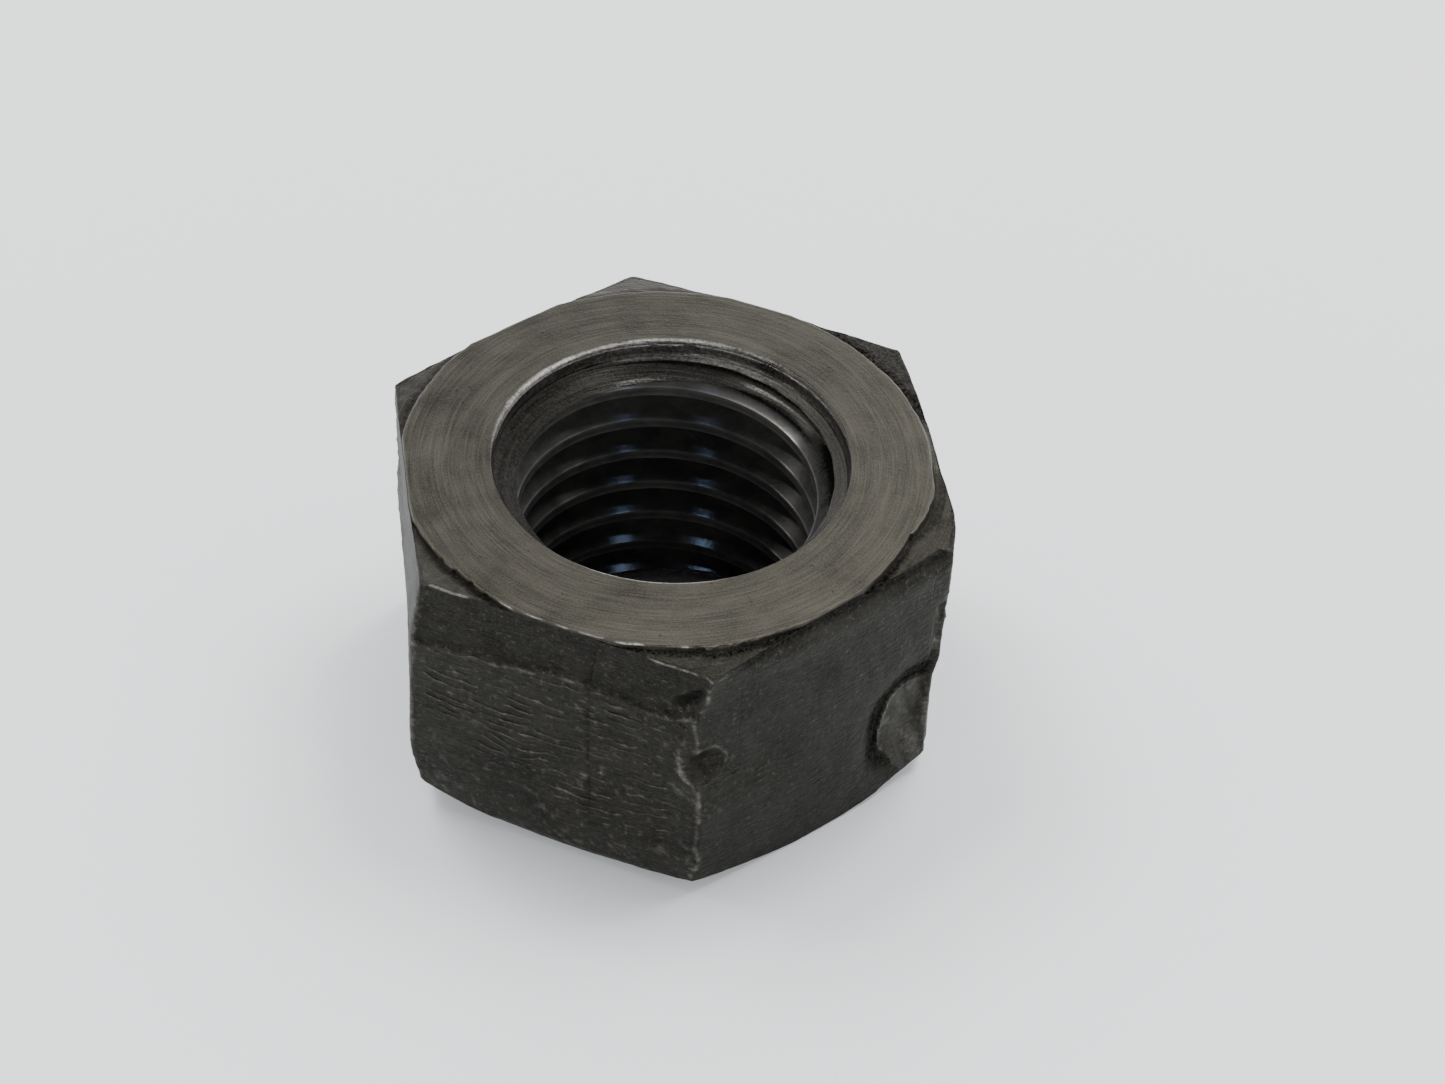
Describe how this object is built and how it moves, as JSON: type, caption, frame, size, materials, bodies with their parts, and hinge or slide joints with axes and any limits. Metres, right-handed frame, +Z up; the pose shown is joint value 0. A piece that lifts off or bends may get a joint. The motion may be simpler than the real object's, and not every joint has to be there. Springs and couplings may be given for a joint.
{
  "type": "hexagon nut",
  "caption": "Hexagon nut with a coarse right-hand internal thread, chamfered corners on both faces and a turned bearing ring.",
  "frame": {"origin": "middle of the bottom face, on the thread's axis", "axes": "+Z up the thread's axis to the face with the turned ring; two flats face -Y and +Y, two corners point along -X and +X"},
  "size_m": [0.0346, 0.03, 0.018],
  "materials": {
    "steel": "plain oiled steel, turned ends, rough sides"
  },
  "bodies": {
    "root": {"hex_nut": "steel"}
  },
  "joints": []
}
